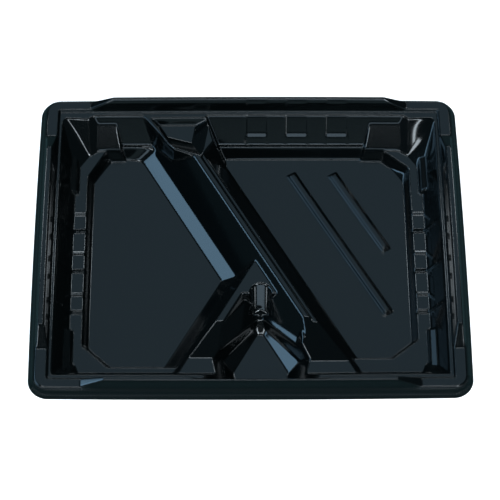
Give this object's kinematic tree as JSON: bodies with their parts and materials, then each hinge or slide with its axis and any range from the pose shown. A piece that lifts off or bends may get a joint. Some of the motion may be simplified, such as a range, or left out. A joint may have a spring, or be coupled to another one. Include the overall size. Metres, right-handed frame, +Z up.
{
  "type": "compartment food tray",
  "caption": "Low black thermoformed food tray with a diagonal divider, large compartments, a small sauce pocket, raised lid ridges and a turned-down skirt.",
  "frame": {"origin": "on the table, under the middle of the tray's outline", "axes": "+X along the long side to the right, +Y along the short side to the rear, away from the sauce pocket, +Z up"},
  "size_m": [0.254, 0.203, 0.032],
  "materials": {
    "tray_plastic": "gloss"
  },
  "bodies": {
    "root": {"left_floor": "tray_plastic", "right_floor": "tray_plastic", "long_floor_rib": "tray_plastic", "short_floor_rib": "tray_plastic", "divider_foot": "tray_plastic", "divider_left_wall": "tray_plastic", "divider_crest": "tray_plastic", "divider_right_wall": "tray_plastic", "branch_left_wall": "tray_plastic", "branch_top": "tray_plastic", "pocket_floor": "tray_plastic", "pocket_rear_wall": "tray_plastic", "pocket_left_wall": "tray_plastic", "pocket_right_wall": "tray_plastic", "front_left_pad": "tray_plastic", "front_right_pad": "tray_plastic", "rear_block": "tray_plastic", "left_wall": "tray_plastic", "left_pad_row": "tray_plastic", "right_wall": "tray_plastic", "right_pad_row": "tray_plastic", "rear_left_wall": "tray_plastic", "rear_right_wall": "tray_plastic", "front_left_wall": "tray_plastic", "front_middle_wall": "tray_plastic", "front_right_wall": "tray_plastic", "rear_left_corner_wall": "tray_plastic", "rear_right_corner_wall": "tray_plastic", "front_left_corner_wall": "tray_plastic", "front_right_corner_wall": "tray_plastic", "left_lid_ridge": "tray_plastic", "right_lid_ridge": "tray_plastic", "rear_lid_ridge": "tray_plastic", "front_lid_ridge": "tray_plastic", "rear_left_flange": "tray_plastic", "rear_right_flange": "tray_plastic", "front_left_flange": "tray_plastic", "front_right_flange": "tray_plastic"}
  },
  "joints": []
}
